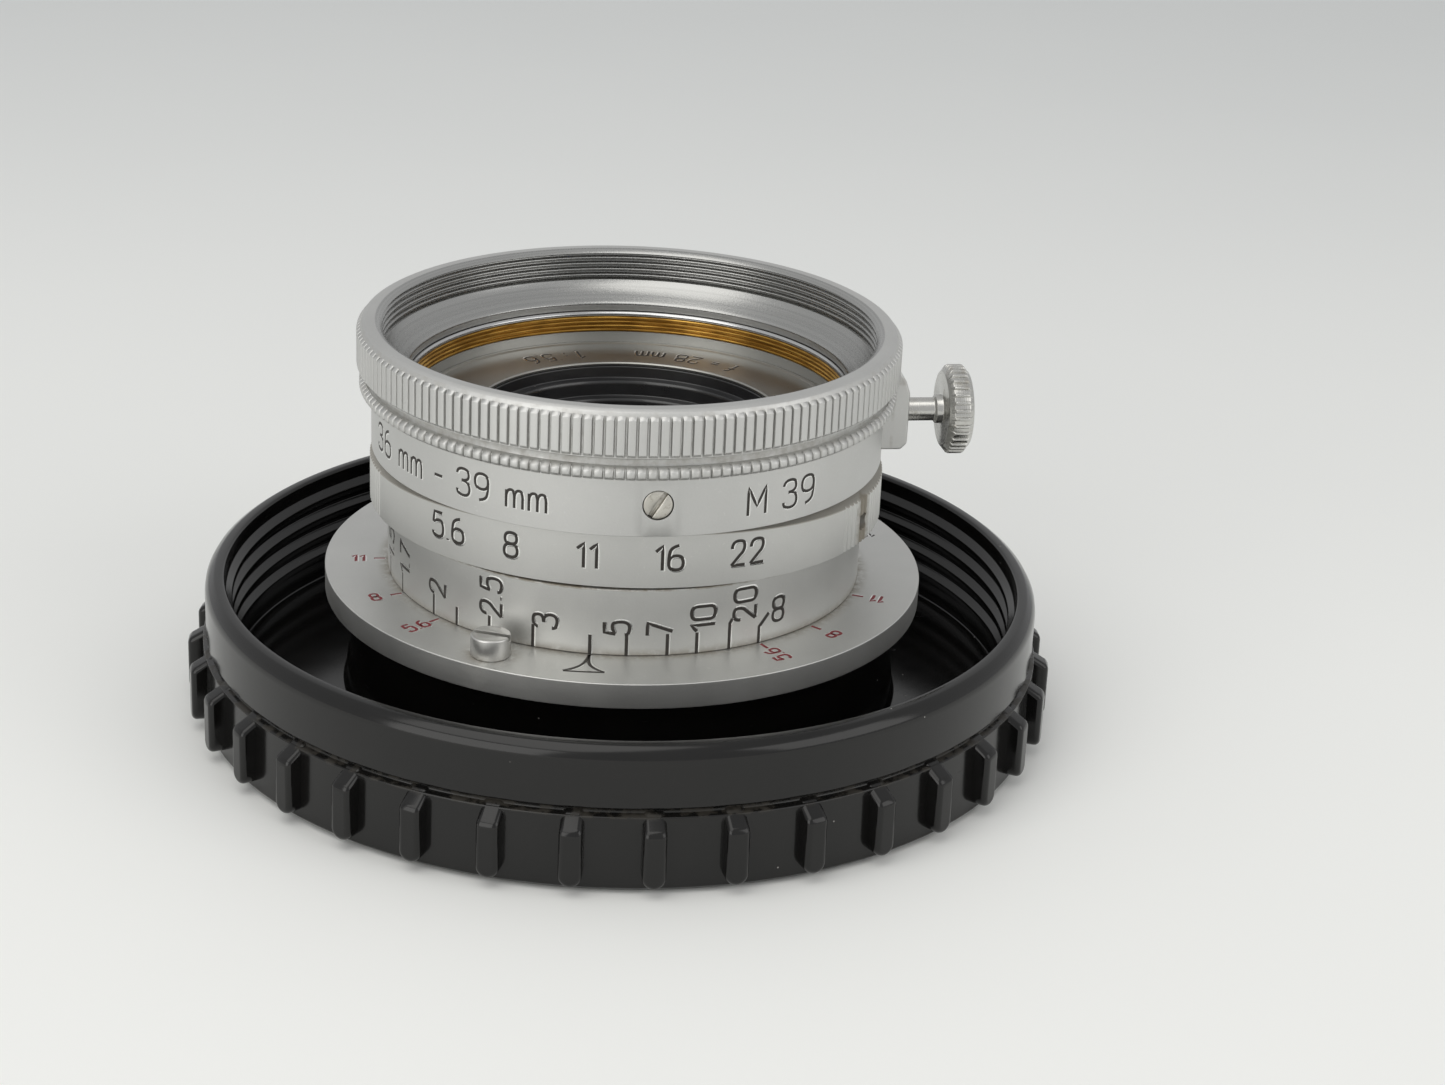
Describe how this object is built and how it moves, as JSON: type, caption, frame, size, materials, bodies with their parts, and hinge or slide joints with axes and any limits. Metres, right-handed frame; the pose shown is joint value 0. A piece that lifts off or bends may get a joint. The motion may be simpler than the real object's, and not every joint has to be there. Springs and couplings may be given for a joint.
{
  "type": "screw-mount wide-angle lens",
  "caption": "Small satin-metal screw-mount wide-angle lens with scales, focus lever, iris and clamp-on filter adapter, standing in a round black ribbed keeper dish.",
  "frame": {"origin": "centre of the keeper's flat underside, on the lens axis", "axes": "+Z along the lens axis towards the front of the lens, +X towards the thumb screw side, -Y towards the scale index"},
  "size_m": [0.07, 0.07, 0.0323],
  "materials": {
    "black_moulding": "polished black moulding with light scuffs",
    "satin_aluminium": "fine matt turned aluminium",
    "satin_chrome": "satin chrome plate",
    "bright_chrome": "bright nickel or chrome, turned",
    "nickel_steel": "nickelled screw steel",
    "spring_steel": "plain spring steel",
    "blade_steel": "blued thin steel",
    "brass": "aged lacquered brass",
    "black_anodised": "matt black",
    "optical_glass": "coated glass"
  },
  "bodies": {
    "keeper": {"keeper_base": "black_moulding"},
    "lens_mount": {"mount_flange": "satin_chrome", "stop_post": "bright_chrome", "fixed_helicoid": "brass", "helicoid_screws": "nickel_steel", "cam_key": "nickel_steel", "infinity_catch": "bright_chrome", "catch_screws": "nickel_steel"},
    "cam_ring": {"rangefinder_cam": "brass"},
    "focus_drum": {"focus_drum": "satin_chrome", "drive_sleeve": "brass", "drum_screws": "nickel_steel", "focus_lever": "satin_chrome", "lever_screws": "nickel_steel"},
    "lock_button": {"lock_button": "bright_chrome", "lock_spring": "spring_steel"},
    "optical_head": {"lens_barrel": "satin_chrome", "drive_keys": "nickel_steel", "front_thread_ring": "brass", "front_rim_ring": "bright_chrome", "name_ring": "satin_chrome", "front_baffle": "black_anodised", "focusing_helicoid": "brass", "cell_tube": "brass", "cell_retaining_ring": "black_anodised", "front_cell": "black_anodised", "rear_cell": "black_anodised", "front_retaining_ring": "black_anodised", "rear_retaining_ring": "black_anodised", "front_element": "optical_glass", "front_pair_outer": "optical_glass", "front_pair_inner": "optical_glass", "rear_element": "optical_glass", "rear_pair_outer": "optical_glass", "rear_pair_inner": "optical_glass", "iris_base_plate": "black_anodised"},
    "aperture_ring": {"aperture_ring": "satin_chrome", "ring_grub_screws": "nickel_steel", "iris_drive_screw": "nickel_steel", "iris_drive_arm": "brass", "iris_slot_ring": "brass"},
    "filter_adapter": {"filter_adapter": "satin_aluminium", "adapter_set_screw": "nickel_steel", "clamp_band": "spring_steel"},
    "pressure_pad": {"pressure_pad": "brass"},
    "clamp_screw": {"clamp_screw": "bright_chrome"},
    "blade_1": {"iris_blade_1": "blade_steel"},
    "blade_2": {"iris_blade_2": "blade_steel"},
    "blade_3": {"iris_blade_3": "blade_steel"},
    "blade_4": {"iris_blade_4": "blade_steel"},
    "blade_5": {"iris_blade_5": "blade_steel"},
    "blade_6": {"iris_blade_6": "blade_steel"}
  },
  "joints": [
    {"name": "lens_lift", "type": "slide", "parent": "keeper", "child": "lens_mount", "axis": [0, 0, 1], "range_m": [0, 0.02]},
    {"name": "focus_turn", "type": "hinge", "parent": "lens_mount", "child": "focus_drum", "pos_m": [0, 0, 0.0147], "axis": [0, 0, 1], "range_deg": [-40.4, 124.7]},
    {"name": "head_travel", "type": "slide", "parent": "focus_drum", "child": "optical_head", "axis": [0, 0, 1], "range_m": [-0.0002, 0.00061]},
    {"name": "cam_travel", "type": "slide", "parent": "lens_mount", "child": "cam_ring", "axis": [0, 0, 1], "range_m": [-0.00069, 0.00213]},
    {"name": "lock_press", "type": "slide", "parent": "focus_drum", "child": "lock_button", "axis": [0, 0, -1], "range_m": [0, 0.0008], "stiffness_N_per_m": 400, "springref_m": -0.001, "deforming": ["lock_spring"]},
    {"name": "aperture_turn", "type": "hinge", "parent": "optical_head", "child": "aperture_ring", "pos_m": [0, 0, 0.0198], "axis": [0, 0, 1], "range_deg": [-35.4, 36]},
    {"name": "blade_1_turn", "type": "hinge", "parent": "optical_head", "child": "blade_1", "pos_m": [0.0047, 0, 0.0085], "axis": [0, 0, 1], "range_deg": [-11.45, 11.65]},
    {"name": "blade_2_turn", "type": "hinge", "parent": "optical_head", "child": "blade_2", "pos_m": [0.00235, 0.00407, 0.0085], "axis": [0, 0, 1], "range_deg": [-11.45, 11.65]},
    {"name": "blade_3_turn", "type": "hinge", "parent": "optical_head", "child": "blade_3", "pos_m": [-0.00235, 0.00407, 0.0085], "axis": [0, 0, 1], "range_deg": [-11.45, 11.65]},
    {"name": "blade_4_turn", "type": "hinge", "parent": "optical_head", "child": "blade_4", "pos_m": [-0.0047, 0, 0.0085], "axis": [0, 0, 1], "range_deg": [-11.45, 11.65]},
    {"name": "blade_5_turn", "type": "hinge", "parent": "optical_head", "child": "blade_5", "pos_m": [-0.00235, -0.00407, 0.0085], "axis": [0, 0, 1], "range_deg": [-11.45, 11.65]},
    {"name": "blade_6_turn", "type": "hinge", "parent": "optical_head", "child": "blade_6", "pos_m": [0.00235, -0.00407, 0.0085], "axis": [0, 0, 1], "range_deg": [-11.45, 11.65]},
    {"name": "adapter_lift", "type": "slide", "parent": "optical_head", "child": "filter_adapter", "axis": [0, 0, 1], "range_m": [0, 0.01]},
    {"name": "pad_travel", "type": "slide", "parent": "filter_adapter", "child": "pressure_pad", "axis": [0.9877, 0.1564, 0], "range_m": [0, 0.0004]},
    {"name": "screw_turn", "type": "hinge", "parent": "pressure_pad", "child": "clamp_screw", "pos_m": [0.02193, 0.00347, 0.02475], "axis": [0.9877, 0.1564, 0], "range_deg": [0, 360]}
  ],
  "couplings": [
    {"joint": "head_travel", "follows": "focus_turn", "m_per_rad": 0.0002799},
    {"joint": "cam_travel", "follows": "focus_turn", "m_per_rad": 0.00097403},
    {"joint": "screw_turn", "follows": "pad_travel", "rad_per_m": 15708},
    {"joint": "blade_1_turn", "follows": "aperture_turn", "ratio": 0.3221},
    {"joint": "blade_2_turn", "follows": "aperture_turn", "ratio": 0.3221},
    {"joint": "blade_3_turn", "follows": "aperture_turn", "ratio": 0.3221},
    {"joint": "blade_4_turn", "follows": "aperture_turn", "ratio": 0.3221},
    {"joint": "blade_5_turn", "follows": "aperture_turn", "ratio": 0.3221},
    {"joint": "blade_6_turn", "follows": "aperture_turn", "ratio": 0.3221}
  ]
}
